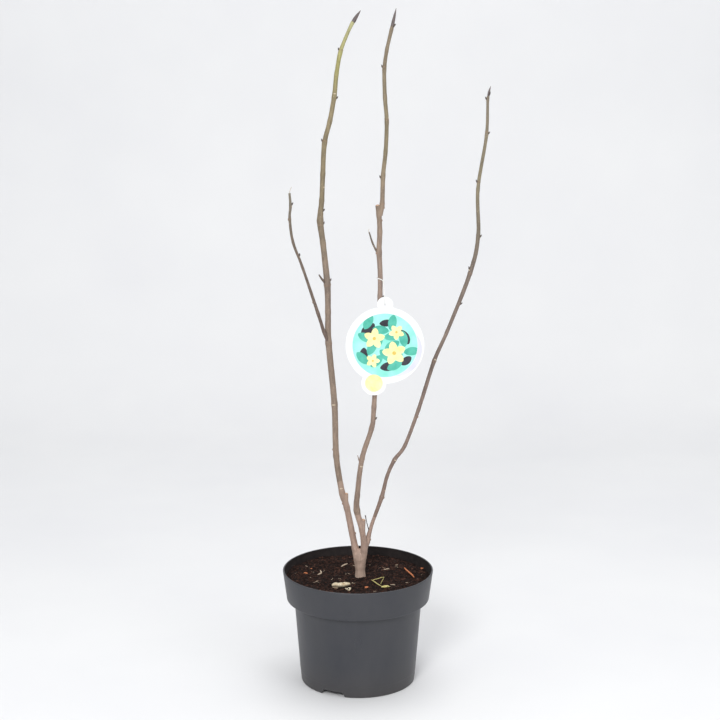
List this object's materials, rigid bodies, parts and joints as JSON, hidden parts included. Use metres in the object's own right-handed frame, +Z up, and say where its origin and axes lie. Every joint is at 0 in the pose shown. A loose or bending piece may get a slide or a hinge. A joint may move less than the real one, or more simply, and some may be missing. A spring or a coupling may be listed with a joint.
{
  "type": "potted magnolia shrub",
  "caption": "Dormant, leafless magnolia shrub: upright stems from a short trunk, in a round dark nursery pot of compost, with a round hanging plant label.",
  "frame": {"origin": "on the pot's axis, in the plane that the pot stands on", "axes": "+Z up along the plant; the front, which the picture shows, faces -Y; +X to the right"},
  "size_m": [0.2978, 0.22, 0.9796],
  "materials": {
    "pot_plastic": "satin, lightly scuffed",
    "compost": "rough, damp fibrous peat",
    "bark": "smooth young bark with scars and buds",
    "label_card": "smooth printed plastic card",
    "label_tie": "satin"
  },
  "bodies": {
    "root": {"pot": "pot_plastic", "soil": "compost", "trunk": "bark", "left_stem": "bark", "middle_stem": "bark", "middle_shoot": "bark", "right_stem": "bark", "left_branch": "bark", "middle_twig": "bark", "left_spur": "bark", "tag": "label_card", "tag_loop": "label_tie"}
  },
  "joints": []
}
